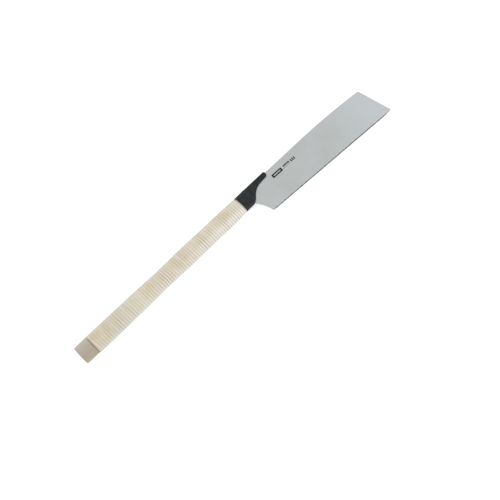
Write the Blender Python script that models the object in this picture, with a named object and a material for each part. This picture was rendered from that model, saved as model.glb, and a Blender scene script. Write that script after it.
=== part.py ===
"""Pull saw with a replaceable blade: a rattan-bound wooden handle, a folded steel head and a thin blade.

The saw lies flat. +X runs from the butt of the handle to the toe of the blade, +Y points to the blade's
spine, and the blade's middle plane is z = 0. The origin is the centre of the butt's flat end.
Each outline is written in the saw's own frame, in metres.
"""

import math

import bmesh
import bpy
from mathutils import Vector

MM = 0.001
GAP = 0.3 * MM
RIVET_GAP = 0.2 * MM

# Handle
HANDLE_END = 340.8 * MM
BARE_WOOD = 25 * MM
WRAP_END = 341.3 * MM
STRIP = 1.1 * MM
BUTT_HALF_HEIGHT = 16.2 * MM
BUTT_HALF_WIDTH = 10.8 * MM
BUTT_CHAMFER = 0.7 * MM
WRAP_HALF_HEIGHTS = (
    (25 * MM, 16.9 * MM),
    (75 * MM, 16.8 * MM),
    (120 * MM, 16.5 * MM),
    (170 * MM, 15.8 * MM),
    (225 * MM, 16.6 * MM),
    (270 * MM, 16.2 * MM),
    (300 * MM, 16.5 * MM),
    (328 * MM, 16.1 * MM),
    (341.7 * MM, 15.7 * MM),
)
WRAP_HALF_WIDTHS = (
    (25 * MM, 11.3 * MM),
    (120 * MM, 11.1 * MM),
    (225 * MM, 10.9 * MM),
    (300 * MM, 10.3 * MM),
    (341.7 * MM, 8.9 * MM),
)
WRAP_BELLY = (
    (25 * MM, 1.1 * MM),
    (300 * MM, 1.1 * MM),
    (330 * MM, 0.9 * MM),
    (341.7 * MM, 0.0),
)
WRAP_STATIONS = 11
OVAL_SIDES = 36

# Head: collar and folded shell
COLLAR_START = 341.6 * MM
COLLAR_END = 343.2 * MM
COLLAR_HALF_HEIGHT = 15.4 * MM
COLLAR_HALF_WIDTH = 8.6 * MM
NECK_START = 322.0 * MM
NECK_BENDS = (328 * MM, 335 * MM)
SHELL_START = 343.5 * MM
SHELL_TIP = 413.6 * MM
SHELL_HALF_WIDTH = 8.1 * MM
SHEET = 1.2 * MM
NECK_SHEET = 1.0 * MM
LIP_HALF_GAP = 0.6 * MM
BEAK_HALF_WIDTH = 2.85 * MM
FOLD_RADIUS = 1.9 * MM
BEAK_START = 376 * MM
SHELL_UPPER_EDGE = (
    (343.5 * MM, 15.4 * MM),
    (354 * MM, 15.2 * MM),
    (413.6 * MM, 15.3 * MM),
)
SHELL_LOWER_EDGE = (
    (343.5 * MM, -15.2 * MM),
    (352 * MM, -14.95 * MM),
    (359.5 * MM, -14.7 * MM),
    (364.5 * MM, -13.6 * MM),
    (369 * MM, -10.9 * MM),
    (374.5 * MM, -5.3 * MM),
    (380 * MM, -0.9 * MM),
    (386 * MM, 2.4 * MM),
    (393 * MM, 4.6 * MM),
    (402 * MM, 5.6 * MM),
    (410 * MM, 6.0 * MM),
    (412.5 * MM, 6.9 * MM),
    (413.6 * MM, 8.8 * MM),
)
TIP_ROUNDING = 1.1 * MM
TIP_LENGTH = 2.0 * MM
LIP_OPEN = 369 * MM
STEP = 0.25 * MM

# Blade
PIVOT = (355.5 * MM, -3.0 * MM)
BLADE_THICKNESS = 0.6 * MM
FIRST_TOOTH = (381.5 * MM, -46.4 * MM)
LAST_TOOTH = (646.0 * MM, -62.6 * MM)
TOOTH_COUNT = 151
TOOTH_DEPTH = 1.2 * MM
TOOTH_LEAN = 0.22
TOE_TOP = (645.5 * MM, 4.7 * MM)
TOE_BOTTOM = (657.3 * MM, -61.1 * MM)
TOE_ROUNDING = (1.5 * MM, 2.5 * MM)
SPINE_ROUNDING = 1.0 * MM
SPINE_START = (357.0 * MM, 12.6 * MM)
SPINE_BEND = (500 * MM, 12.3 * MM)
SPINE_PULL = (572 * MM, 12.05 * MM)
HEEL_CORNER = (375.6 * MM, -45.1 * MM)
HEEL_PULL = (371.3 * MM, -25.2 * MM)
HEEL_ROUNDING = 2.0 * MM
HEEL_TOP = (362.5 * MM, -13.6 * MM)
THROAT = (362.1 * MM, -8.0 * MM)
HOOK_RADIUS = 14.0 * MM
HOOK_BACK = (101, 178)
HOOK_LIP = ((-12.6 * MM, -1.2 * MM), (-6.6 * MM, -3.0 * MM))
NOTCH_RADIUS = 4.3 * MM
NOTCH_ARC = (202, 0)
DETENT_HOLE = (369.5 * MM, 0.7 * MM)
DETENT_HOLE_RADIUS = 2.75 * MM

# Clamp inside the head, and what holds it
CLAMP_HALF_WIDTH = 1.35 * MM
CLAMP_SLOT_HALF = 0.5 * MM
CLAMP_TOP = 13.7 * MM
CLAMP_WEB = 0.8 * MM
CLAMP_LOWER_EDGE = (
    (347 * MM, -9.5 * MM),
    (364 * MM, -9.5 * MM),
    (370 * MM, -7.5 * MM),
    (376 * MM, -2.2 * MM),
    (382 * MM, 1.9 * MM),
    (390 * MM, 5.1 * MM),
    (400 * MM, 6.8 * MM),
    (408 * MM, 7.5 * MM),
)
CLAMP_BACK = 347.5 * MM
LEG_FRONT = 341.5 * MM
LEG_HALF_HEIGHT = 6.5 * MM
LEG_START = 252 * MM
SPACER_START = 262 * MM
SPACER_END = 340.5 * MM
SPACER_HALF_HEIGHT = 5.5 * MM
SPACER_HALF_THICKNESS = 0.35 * MM
PIN_RADIUS = 4.0 * MM
PIN_SHANK_RADIUS = 2.3 * MM
PIN_HEAD_RADIUS = 4.2 * MM
PIN_HEAD = 1.1 * MM
PIN_HEAD_CHAMFER = (0.8 * MM, 0.4 * MM)
RIVET_RADIUS = 2.0 * MM
RIVET_CHAMFER = 0.3 * MM
NECK_RIVETS = {"neck_rivet_upper": (331.5 * MM, 3.3 * MM), "neck_rivet_lower": (331.5 * MM, -3.3 * MM)}
TANG_RIVETS = {"tang_rivet_front": (305 * MM, 0.0), "tang_rivet_rear": (272 * MM, 0.0)}
BOSS_RADIUS = 1.5 * MM
BOSS_HEAD_RADIUS = 2.4 * MM
BOSS_HEAD = 0.3 * MM
BOSS_CLEARANCE = 0.12 * MM


def clear_scene():
    for item in list(bpy.data.objects):
        bpy.data.objects.remove(item, do_unlink=True)


def make_material(name, colour, roughness, metallic):
    material = bpy.data.materials.new(name)
    material.use_nodes = True
    shader = material.node_tree.nodes["Principled BSDF"]
    shader.inputs["Base Color"].default_value = (*colour, 1.0)
    shader.inputs["Roughness"].default_value = roughness
    shader.inputs["Metallic"].default_value = metallic
    return material


def smooth_profile(points, x):
    """Height at x of a smooth curve through hand-placed points, with no overshoot between them."""
    if x <= points[0][0]:
        return points[0][1]
    if x >= points[-1][0]:
        return points[-1][1]
    slopes = [
        (after[1] - before[1]) / (after[0] - before[0])
        for before, after in zip(points, points[1:])
    ]
    tangents = [slopes[0]]
    for before, after in zip(slopes, slopes[1:]):
        same_way = before * after > 0
        tangents.append(2 * before * after / (before + after) if same_way else 0.0)
    tangents.append(slopes[-1])
    index = max(i for i, point in enumerate(points[:-1]) if point[0] <= x)
    start, end = points[index], points[index + 1]
    width = end[0] - start[0]
    t = (x - start[0]) / width
    return (
        (2 * t**3 - 3 * t**2 + 1) * start[1]
        + (t**3 - 2 * t**2 + t) * width * tangents[index]
        + (3 * t**2 - 2 * t**3) * end[1]
        + (t**3 - t**2) * width * tangents[index + 1]
    )


def quadratic(start, pull, end, steps):
    """Points of a quadratic curve, without its start."""
    points = []
    for i in range(1, steps + 1):
        t = i / steps
        points.append(
            tuple((1 - t) ** 2 * a + 2 * t * (1 - t) * b + t**2 * c for a, b, c in zip(start, pull, end))
        )
    return points


def arc(centre, radius, start_degrees, end_degrees, steps):
    points = []
    for i in range(steps + 1):
        angle = math.radians(start_degrees + (end_degrees - start_degrees) * i / steps)
        points.append((centre[0] + radius * math.cos(angle), centre[1] + radius * math.sin(angle)))
    return points


def rounded(corner, before, after, size, steps=4):
    """A corner of an outline replaced by a curve that starts and ends at this distance from it."""
    here = Vector(corner)
    start = here + (Vector(before) - here).normalized() * size
    end = here + (Vector(after) - here).normalized() * size
    return [tuple(start)] + quadratic(tuple(start), corner, tuple(end), steps)


def finish_object(name, mesh, material, sharp_degrees=35):
    mesh.materials.append(material)
    mesh.shade_smooth()
    mesh.set_sharp_from_angle(angle=math.radians(sharp_degrees))
    item = bpy.data.objects.new(name, mesh)
    bpy.context.collection.objects.link(item)
    return item


def mesh_from(name, work):
    bmesh.ops.recalc_face_normals(work, faces=work.faces[:])
    mesh = bpy.data.meshes.new(name)
    work.to_mesh(mesh)
    work.free()
    return mesh


def prism(name, outline, low, high, origin=(0.0, 0.0)):
    """A flat outline in the saw's frame, extruded from z = low to z = high about the given origin."""
    work = bmesh.new()
    corners = [work.verts.new((x - origin[0], y - origin[1], low)) for x, y in outline]
    base = work.faces.new(corners)
    made = bmesh.ops.extrude_face_region(work, geom=[base])
    lifted = [item for item in made["geom"] if isinstance(item, bmesh.types.BMVert)]
    bmesh.ops.translate(work, verts=lifted, vec=(0, 0, high - low))
    return mesh_from(name, work)


def loft(name, rings, closed_path=False):
    """Skin over rings of equal length; capped at both ends, or closed round on itself."""
    work = bmesh.new()
    made = [[work.verts.new(point) for point in ring] for ring in rings]
    pairs = list(zip(made, made[1:]))
    if closed_path:
        pairs.append((made[-1], made[0]))
    for first, second in pairs:
        for i in range(len(first)):
            j = (i + 1) % len(first)
            work.faces.new((first[i], first[j], second[j], second[i]))
    if not closed_path:
        work.faces.new(made[0])
        work.faces.new(made[-1])
    return mesh_from(name, work)


def turned(name, profile, sides=24):
    """A solid of revolution about Z from (radius, z) points that run up its outside."""
    rings = []
    for radius, z in profile:
        rings.append(
            [
                (radius * math.cos(math.tau * i / sides), radius * math.sin(math.tau * i / sides), z)
                for i in range(sides)
            ]
        )
    return loft(name, rings)


def cut(item, cutter_mesh, location=(0.0, 0.0, 0.0)):
    """Take a shape away from an object with a Boolean that stays on it."""
    cutter = bpy.data.objects.new(f"{cutter_mesh.name}_cutter", cutter_mesh)
    bpy.context.collection.objects.link(cutter)
    cutter.location = location
    cutter.hide_render = True
    cutter.display_type = "WIRE"
    modifier = item.modifiers.new(cutter.name, "BOOLEAN")
    modifier.operation = "DIFFERENCE"
    modifier.solver = "EXACT"
    modifier.object = cutter
    return cutter


def drill(item, place, radius, depth=40 * MM):
    hole = turned(f"{item.name}_hole", ((radius, -depth / 2), (radius, depth / 2)), sides=24)
    return cut(item, hole, (place[0], place[1], 0.0))


def oval(x, half_height, half_width, belly=0.0):
    """An ellipse across the handle. belly is how much further it reaches on the teeth's side."""
    reach = half_height + belly / 2
    return [
        (
            x,
            reach * math.cos(math.tau * i / OVAL_SIDES) - belly / 2,
            half_width * math.sin(math.tau * i / OVAL_SIDES),
        )
        for i in range(OVAL_SIDES)
    ]


def wrap_size(x):
    """Half height, half width and belly of the rattan's outside."""
    return tuple(smooth_profile(points, x) for points in (WRAP_HALF_HEIGHTS, WRAP_HALF_WIDTHS, WRAP_BELLY))


def under_wrap(x, clearance=STRIP + GAP):
    """Half height, half width and belly of the wood or neck that the rattan is wound on."""
    height, width, belly = wrap_size(x)
    return height - clearance, width - clearance, belly


def spread(start, end, count):
    return [start + (end - start) * i / (count - 1) for i in range(count)]


def handle_core(material):
    rings = [oval(0.0, BUTT_HALF_HEIGHT - BUTT_CHAMFER, BUTT_HALF_WIDTH - BUTT_CHAMFER)]
    rings.append(oval(BUTT_CHAMFER, BUTT_HALF_HEIGHT, BUTT_HALF_WIDTH))
    rings.append(oval(BARE_WOOD - MM, BUTT_HALF_HEIGHT, BUTT_HALF_WIDTH))
    for x in spread(BARE_WOOD, NECK_START - GAP, WRAP_STATIONS):
        rings.append(oval(x, *under_wrap(x)))
    nose = STRIP + NECK_SHEET + 2 * GAP
    for x in (NECK_START - GAP, *NECK_BENDS, HANDLE_END):
        rings.append(oval(x, *under_wrap(x, nose)))
    core = finish_object("handle_core", loft("handle_core", rings), material)
    half = LEG_HALF_HEIGHT + GAP
    mortise_start = LEG_START - GAP
    outside = SHELL_START
    pocket = [(mortise_start, -half), (outside, -half), (outside, half), (mortise_start, half)]
    depth = CLAMP_HALF_WIDTH + GAP
    cut(core, prism("handle_core_mortise", pocket, -depth, depth))
    for place in [*NECK_RIVETS.values(), *TANG_RIVETS.values()]:
        drill(core, place, RIVET_RADIUS + GAP)
    return core


def sleeve(name, stations, material, thickness):
    """An oval tube over (x, outer half height, outer half width, belly) stations, with an even wall."""
    outer = [oval(*station) for station in stations]
    inner = [oval(x, height - thickness, width - thickness, belly) for x, height, width, belly in stations]
    return finish_object(name, loft(name, outer + inner[::-1], closed_path=True), material)


def rattan_wrap(material):
    places = [*spread(BARE_WOOD, NECK_START, WRAP_STATIONS), *NECK_BENDS, WRAP_END]
    stations = [(x, *wrap_size(x)) for x in places]
    return sleeve("rattan_wrap", stations, material, STRIP)


def front_collar(material):
    stations = [(x, COLLAR_HALF_HEIGHT, COLLAR_HALF_WIDTH, 0.0) for x in (COLLAR_START, COLLAR_END)]
    wall = COLLAR_HALF_HEIGHT - under_wrap(COLLAR_START)[0] - GAP
    return sleeve("front_collar", stations, material, wall)


def half_section(top, bottom, half_width, fold, lip):
    """Half of the folded sheet's outer path, from the spine over one cheek to its lip, as (y, z) points.

    fold goes from an oval, 0, to flat cheeks with a small rounded fold, 1. lip is the lower edge's z.
    """
    arc_steps, cheek_steps, first_angle = 5, 8, 8
    middle = (top + bottom) / 2
    corner_z = half_width + (FOLD_RADIUS - half_width) * fold
    corner_y = (top - middle) + (FOLD_RADIUS - (top - middle)) * fold
    path = [Vector((top, 0.0))]
    for i in range(arc_steps + 1):
        angle = math.radians(first_angle + (90 - first_angle) * i / arc_steps)
        z = half_width - corner_z * (1 - math.sin(angle))
        path.append(Vector((top - corner_y * (1 - math.cos(angle)), z)))
    shoulder = top - corner_y
    straight = min(1.0, 1.6 * fold)
    for i in range(1, cheek_steps + 1):
        y = shoulder - (shoulder - bottom) * math.sin(math.pi / 2 * i / cheek_steps)
        down = max((middle - y) / (middle - bottom), 0.0)
        spread_out = (1 - straight) * math.sqrt(max(1 - down**2, 0.0)) + straight * (1 - down**2)
        path.append(Vector((y, lip + (half_width - lip) * spread_out)))
    return path


def inset_path(path, sheet):
    """The path moved inwards by the sheet's thickness."""
    moved = []
    for i, point in enumerate(path):
        after = path[min(i + 1, len(path) - 1)]
        before = path[i - 1] if i else Vector((path[1].x, -path[1].y))
        along = (after - before).normalized()
        moved.append(point + Vector((-along.y, along.x)) * sheet)
    return moved


def shell_ring(x_outer, x_inner, outer, sheet):
    """One closed C-shaped section: out along the sheet's outside and back along its inside."""
    inner = inset_path(outer, sheet)
    ring = [(x_outer, point.x, -point.y) for point in outer[:0:-1]]
    ring += [(x_outer, point.x, point.y) for point in outer]
    ring += [(x_inner, point.x, point.y) for point in inner[::-1]]
    ring += [(x_inner, point.x, -point.y) for point in inner[1:]]
    return ring


def ease(start, end, x):
    """0 before start, 1 after end, with a smooth rise between."""
    t = min(max((x - start) / (end - start), 0.0), 1.0)
    return t * t * (3 - 2 * t)


def neck_section(x):
    height, width, belly = under_wrap(x)
    return half_section(height, -height - belly, width, 0.0, LIP_HALF_GAP)


def shell_section(x):
    """The head's visible part, from the handle's oval down to the beak's two flat cheeks."""
    fold = ease(SHELL_START + MM, BEAK_START, x)
    half_width = SHELL_HALF_WIDTH + (BEAK_HALF_WIDTH - SHELL_HALF_WIDTH) * fold
    lip = LIP_HALF_GAP + (BEAK_HALF_WIDTH - LIP_HALF_GAP) * ease(SHELL_START + MM, LIP_OPEN, x)
    into_tip = min(max(x - (SHELL_TIP - TIP_LENGTH), 0.0) / TIP_LENGTH, 1.0)
    top = smooth_profile(SHELL_UPPER_EDGE, x) - TIP_ROUNDING * (1 - math.sqrt(1 - into_tip**2))
    return half_section(top, smooth_profile(SHELL_LOWER_EDGE, x), half_width, fold, lip)


def head_shell(material):
    rings = []
    for x in (NECK_START, *NECK_BENDS, WRAP_END, SHELL_START):
        x_inner = x if x < SHELL_START else x + SHEET
        rings.append(shell_ring(x, x_inner, neck_section(x), NECK_SHEET))
    first = SHELL_START + STEP
    rings.append(shell_ring(first, first + SHEET, shell_section(first), SHEET))
    places = spread(SHELL_START + 2 * MM, BEAK_START, 12)
    places += spread(BEAK_START + 4 * MM, SHELL_TIP - 4 * MM, 7)
    places += [SHELL_TIP - TIP_LENGTH * (1 - share) for share in (0.0, 0.5, 0.8, 1.0)]
    for x in places:
        rings.append(shell_ring(x, x, shell_section(x), SHEET))
    shell = finish_object("head_shell", loft("head_shell", rings), material)
    for place in NECK_RIVETS.values():
        drill(shell, place, RIVET_RADIUS + GAP)
    return shell


def tooth_points():
    """Saw teeth from the toe to the heel: each point leans towards the handle, for a pull stroke."""
    heel, toe = Vector(FIRST_TOOTH), Vector(LAST_TOOTH)
    along = (toe - heel).normalized()
    inward = Vector((-along.y, along.x))
    pitch = (toe - heel).length / TOOTH_COUNT
    points = []
    for k in reversed(range(TOOTH_COUNT)):
        root = heel + along * pitch * (k + 1) + inward * TOOTH_DEPTH
        point = heel + along * pitch * (k + TOOTH_LEAN)
        points += [tuple(root), tuple(point)]
    points.append(tuple(heel + inward * TOOTH_DEPTH))
    return points


def blade_outline():
    outline = arc(PIVOT, HOOK_RADIUS, *HOOK_BACK, 8)
    outline += [(PIVOT[0] + x, PIVOT[1] + y) for x, y in HOOK_LIP]
    outline += arc(PIVOT, NOTCH_RADIUS, *NOTCH_ARC, 14)
    outline += quadratic(outline[-1], (THROAT[0], PIVOT[1] - MM), THROAT, 3)
    outline += [HEEL_TOP]
    outline += quadratic(HEEL_TOP, HEEL_PULL, HEEL_CORNER, 8)[:-1]
    outline += rounded(HEEL_CORNER, outline[-1], FIRST_TOOTH, HEEL_ROUNDING)
    teeth = tooth_points()
    outline += teeth[::-1]
    outline += rounded(TOE_BOTTOM, LAST_TOOTH, TOE_TOP, TOE_ROUNDING[0])
    outline += rounded(TOE_TOP, TOE_BOTTOM, SPINE_PULL, TOE_ROUNDING[1])
    outline += quadratic(TOE_TOP, SPINE_PULL, SPINE_BEND, 10)[1:]
    outline += rounded(SPINE_START, SPINE_BEND, outline[0], SPINE_ROUNDING)
    return outline


def blade(material, pivot):
    half = BLADE_THICKNESS / 2
    item = finish_object("blade", prism("blade", blade_outline(), -half, half, PIVOT), material)
    item.parent = pivot
    hole = turned("blade_hole", ((DETENT_HOLE_RADIUS, -MM), (DETENT_HOLE_RADIUS, MM)))
    cutter = cut(item, hole, (DETENT_HOLE[0] - PIVOT[0], DETENT_HOLE[1] - PIVOT[1], 0.0))
    cutter.parent = pivot
    return item


def blade_clamp(material):
    """One folded strip: two cheeks joined along the spine, running back as two legs into the handle."""
    top, leg = CLAMP_TOP, LEG_HALF_HEIGHT
    legs = [(LEG_FRONT, leg), (LEG_START, leg), (LEG_START, -leg), (LEG_FRONT, -leg)]
    outline = [*legs, *CLAMP_LOWER_EDGE, (CLAMP_LOWER_EDGE[-1][0], top), (CLAMP_BACK, top)]
    mesh = prism("blade_clamp", outline, -CLAMP_HALF_WIDTH, CLAMP_HALF_WIDTH)
    clamp = finish_object("blade_clamp", mesh, material)
    back, web_under, below = LEG_START - MM, top - CLAMP_WEB, -CLAMP_TOP
    slot = [(back, below), (SHELL_TIP, below), (SHELL_TIP, web_under), (back, web_under)]
    cut(clamp, prism("blade_clamp_slot", slot, -CLAMP_SLOT_HALF, CLAMP_SLOT_HALF))
    for place in [*NECK_RIVETS.values(), *TANG_RIVETS.values()]:
        drill(clamp, place, RIVET_RADIUS + GAP)
    drill(clamp, PIVOT, PIN_SHANK_RADIUS + GAP)
    drill(clamp, DETENT_HOLE, BOSS_RADIUS + GAP)
    return clamp


def tang_spacer(material):
    half = SPACER_HALF_HEIGHT
    outline = [(SPACER_START, -half), (SPACER_END, -half), (SPACER_END, half), (SPACER_START, half)]
    mesh = prism("tang_spacer", outline, -SPACER_HALF_THICKNESS, SPACER_HALF_THICKNESS)
    spacer = finish_object("tang_spacer", mesh, material)
    for place in [*NECK_RIVETS.values(), *TANG_RIVETS.values()]:
        drill(spacer, place, RIVET_RADIUS + RIVET_GAP)
    return spacer


def hook_pin(material):
    """A spool riveted through both cheeks of the clamp; the blade's hook catches on its thick middle."""
    disc = SPACER_HALF_THICKNESS
    head_low = CLAMP_HALF_WIDTH + GAP
    head_high = head_low + PIN_HEAD
    upper = [
        (PIN_RADIUS, disc),
        (PIN_SHANK_RADIUS, disc),
        (PIN_SHANK_RADIUS, head_low),
        (PIN_HEAD_RADIUS, head_low),
        (PIN_HEAD_RADIUS, head_high - PIN_HEAD_CHAMFER[1]),
        (PIN_HEAD_RADIUS - PIN_HEAD_CHAMFER[0], head_high),
    ]
    profile = [(radius, -z) for radius, z in reversed(upper)] + upper
    pin = finish_object("hook_pin", turned("hook_pin", profile), material)
    pin.location = (PIVOT[0], PIVOT[1], 0.0)
    return pin


def detent_boss(name, side, material):
    """A small domed rivet in one cheek of the clamp, over the blade's hole."""
    face = BLADE_THICKNESS / 2 + BOSS_CLEARANCE
    head_low = CLAMP_HALF_WIDTH + RIVET_GAP
    head_high = head_low + BOSS_HEAD
    profile = [
        (BOSS_RADIUS * 0.6, face),
        (BOSS_RADIUS, face + 0.25 * MM),
        (BOSS_RADIUS, head_low),
        (BOSS_HEAD_RADIUS, head_low),
        (BOSS_HEAD_RADIUS * 0.8, head_high),
    ]
    boss = finish_object(name, turned(name, profile, sides=20), material)
    boss.location = (DETENT_HOLE[0], DETENT_HOLE[1], 0.0)
    boss.rotation_euler = (0.0 if side > 0 else math.pi, 0.0, 0.0)
    return boss


def cross_rivet(name, place, inside_neck, material):
    """A plain rivet across the handle, its ends flush with what the rattan is wound on."""
    height, width, belly = under_wrap(place[0])
    from_middle = (place[1] + belly / 2) / (height + belly / 2)
    flush = width * math.sqrt(1 - from_middle**2)
    reach = flush - (RIVET_GAP if inside_neck else 2 * RIVET_GAP)
    profile = [
        (RIVET_RADIUS - RIVET_CHAMFER, -reach),
        (RIVET_RADIUS, -reach + RIVET_CHAMFER),
        (RIVET_RADIUS, reach - RIVET_CHAMFER),
        (RIVET_RADIUS - RIVET_CHAMFER, reach),
    ]
    rivet = finish_object(name, turned(name, profile, sides=20), material)
    rivet.location = (place[0], place[1], 0.0)
    return rivet


def empty(name, location, parent=None):
    item = bpy.data.objects.new(name, None)
    bpy.context.collection.objects.link(item)
    item.location = location
    item.parent = parent
    return item


def build():
    clear_scene()
    wood = make_material("handle_wood", (0.47, 0.39, 0.29), 0.65, 0.0)
    rattan = make_material("rattan", (0.68, 0.60, 0.43), 0.5, 0.0)
    black = make_material("black_steel", (0.03, 0.033, 0.035), 0.45, 0.0)
    pale = make_material("collar_metal", (0.7, 0.71, 0.72), 0.4, 0.8)
    blade_steel = make_material("blade_steel", (0.5, 0.52, 0.52), 0.35, 1.0)
    spring_steel = make_material("spring_steel", (0.35, 0.35, 0.36), 0.35, 1.0)
    rivet_steel = make_material("rivet_steel", (0.5, 0.5, 0.5), 0.3, 1.0)

    handle = empty("handle_frame", (0.0, 0.0, 0.0))
    pivot = empty("blade_pivot", (PIVOT[0], PIVOT[1], 0.0), handle)
    blade(blade_steel, pivot)

    fixed = [
        handle_core(wood),
        rattan_wrap(rattan),
        front_collar(pale),
        head_shell(black),
        blade_clamp(spring_steel),
        tang_spacer(rivet_steel),
        hook_pin(rivet_steel),
        detent_boss("detent_boss_front", 1, rivet_steel),
        detent_boss("detent_boss_back", -1, rivet_steel),
    ]
    for name, place in NECK_RIVETS.items():
        fixed.append(cross_rivet(name, place, True, rivet_steel))
    for name, place in TANG_RIVETS.items():
        fixed.append(cross_rivet(name, place, False, rivet_steel))
    for item in fixed:
        item.parent = handle


build()
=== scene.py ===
import math
import random

import bmesh
import bpy
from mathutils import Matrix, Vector, noise


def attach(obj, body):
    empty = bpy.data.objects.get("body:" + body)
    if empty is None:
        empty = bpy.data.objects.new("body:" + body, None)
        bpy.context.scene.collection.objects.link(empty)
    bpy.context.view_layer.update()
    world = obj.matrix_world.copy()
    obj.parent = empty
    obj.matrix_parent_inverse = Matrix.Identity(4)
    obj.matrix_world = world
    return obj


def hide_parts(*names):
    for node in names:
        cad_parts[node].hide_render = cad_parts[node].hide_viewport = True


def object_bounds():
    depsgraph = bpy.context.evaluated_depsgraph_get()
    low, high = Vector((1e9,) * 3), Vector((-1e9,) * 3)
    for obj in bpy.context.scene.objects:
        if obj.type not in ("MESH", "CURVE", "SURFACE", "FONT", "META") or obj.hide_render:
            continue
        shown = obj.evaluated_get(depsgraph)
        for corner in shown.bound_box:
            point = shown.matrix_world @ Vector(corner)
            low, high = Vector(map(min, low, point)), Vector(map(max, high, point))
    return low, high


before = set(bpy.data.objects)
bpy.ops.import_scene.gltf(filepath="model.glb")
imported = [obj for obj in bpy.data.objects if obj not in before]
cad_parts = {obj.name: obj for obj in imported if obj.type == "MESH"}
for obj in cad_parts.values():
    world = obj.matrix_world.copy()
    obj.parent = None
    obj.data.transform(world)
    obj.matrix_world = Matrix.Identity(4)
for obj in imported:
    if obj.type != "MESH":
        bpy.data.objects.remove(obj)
cad_low, cad_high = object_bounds()

MM = 0.001
GAP = 0.3 * MM

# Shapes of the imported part, repeated at a finer grain. All in metres, in the saw's own frame.
WRAP_HALF_HEIGHTS = (
    (25 * MM, 16.9 * MM),
    (75 * MM, 16.8 * MM),
    (120 * MM, 16.5 * MM),
    (170 * MM, 15.8 * MM),
    (225 * MM, 16.6 * MM),
    (270 * MM, 16.2 * MM),
    (300 * MM, 16.5 * MM),
    (328 * MM, 16.1 * MM),
    (341.7 * MM, 15.7 * MM),
)
WRAP_HALF_WIDTHS = (
    (25 * MM, 11.3 * MM),
    (120 * MM, 11.1 * MM),
    (225 * MM, 10.9 * MM),
    (300 * MM, 10.3 * MM),
    (341.7 * MM, 8.9 * MM),
)
WRAP_BELLY = (
    (25 * MM, 1.1 * MM),
    (300 * MM, 1.1 * MM),
    (330 * MM, 0.9 * MM),
    (341.7 * MM, 0.0),
)
HANDLE_END = 340.8 * MM
WRAP_START = 25 * MM
WRAP_END = 341.3 * MM
STRIP = 1.1 * MM
OVAL_SIDES = 112
BUTT_HALF_HEIGHT = 16.2 * MM
BUTT_HALF_WIDTH = 10.8 * MM
BUTT_ROUND = 0.7 * MM
COLLAR_START = 341.6 * MM
COLLAR_END = 343.2 * MM
COLLAR_HALF_HEIGHT = 15.4 * MM
COLLAR_HALF_WIDTH = 8.6 * MM
NECK_START = 322.0 * MM
NECK_SHEET = 1.0 * MM
SHELL_START = 343.5 * MM
SHELL_TIP = 413.6 * MM
SHELL_HALF_WIDTH = 8.1 * MM
SHEET = 1.2 * MM
LIP_HALF_GAP = 0.6 * MM
LIP_OPEN = 369 * MM
BEAK_START = 376 * MM
BEAK_HALF_WIDTH = 2.85 * MM
FOLD_RADIUS = 1.9 * MM
TIP_ROUNDING = 1.1 * MM
TIP_LENGTH = 2.0 * MM
SHELL_UPPER_EDGE = (
    (343.5 * MM, 15.4 * MM),
    (354 * MM, 15.2 * MM),
    (413.6 * MM, 15.3 * MM),
)
SHELL_LOWER_EDGE = (
    (343.5 * MM, -15.2 * MM),
    (352 * MM, -14.95 * MM),
    (359.5 * MM, -14.7 * MM),
    (364.5 * MM, -13.6 * MM),
    (369 * MM, -10.9 * MM),
    (374.5 * MM, -5.3 * MM),
    (380 * MM, -0.9 * MM),
    (386 * MM, 2.4 * MM),
    (393 * MM, 4.6 * MM),
    (402 * MM, 5.6 * MM),
    (410 * MM, 6.0 * MM),
    (412.5 * MM, 6.9 * MM),
    (413.6 * MM, 8.8 * MM),
)
LEG_START = 252 * MM
LEG_HALF_HEIGHT = 6.5 * MM
CLAMP_HALF_WIDTH = 1.35 * MM
RIVET_RADIUS = 2.0 * MM
NECK_RIVETS = ((331.5 * MM, 3.3 * MM), (331.5 * MM, -3.3 * MM))
TANG_RIVETS = ((305 * MM, 0.0), (272 * MM, 0.0))

PIVOT = (355.5 * MM, -3.0 * MM)
BLADE_HALF = 0.3 * MM
FIRST_TOOTH = (381.5 * MM, -46.4 * MM)
LAST_TOOTH = (646.0 * MM, -62.6 * MM)
TOOTH_COUNT = 151
TOOTH_DEPTH = 1.2 * MM
TOOTH_LEAN = 0.22
TOOTH_SET = 0.16 * MM
TOE_TOP = (645.5 * MM, 4.7 * MM)
TOE_BOTTOM = (657.3 * MM, -61.1 * MM)
SPINE_START = (357.0 * MM, 12.6 * MM)
SPINE_BEND = (500 * MM, 12.3 * MM)
SPINE_PULL = (572 * MM, 12.05 * MM)
HEEL_CORNER = (375.6 * MM, -45.1 * MM)
HEEL_PULL = (371.3 * MM, -25.2 * MM)
HEEL_TOP = (362.5 * MM, -13.6 * MM)
THROAT = (362.1 * MM, -8.0 * MM)
HOOK_RADIUS = 14.0 * MM
NOTCH_RADIUS = 4.3 * MM
DETENT_HOLE = (369.5 * MM, 0.7 * MM)
DETENT_HOLE_RADIUS = 2.75 * MM
EDGE_BREAK = 0.09 * MM

# Rattan winding. The crown is half of the strip's section, as shares of its half width and thickness.
TURN_PITCH = 4.5 * MM
TURN_STEPS = 56
STRIP_CROWN = ((0.16, 0.99), (0.45, 0.92), (0.7, 0.76), (0.88, 0.52), (1.0, 0.22), (1.0, 0.0))
STRIP_GAPS = (0.04, 0.05, 0.06, 0.08, 0.08, 0.3, 0.45)
LOOSEST_LIFT = 0.22
LARGEST_TILT = 0.12
THINNEST = 0.02 * MM
WINDING_SEED = 11

# Printed mark: where its block starts, and its slope along the blade
MARK_PLACE = (417.8 * MM, -2.4 * MM)
MARK_SLOPE = math.radians(-1.2)
DASH_PITCH = 2.95
BAR_PITCH = 3.7

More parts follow.
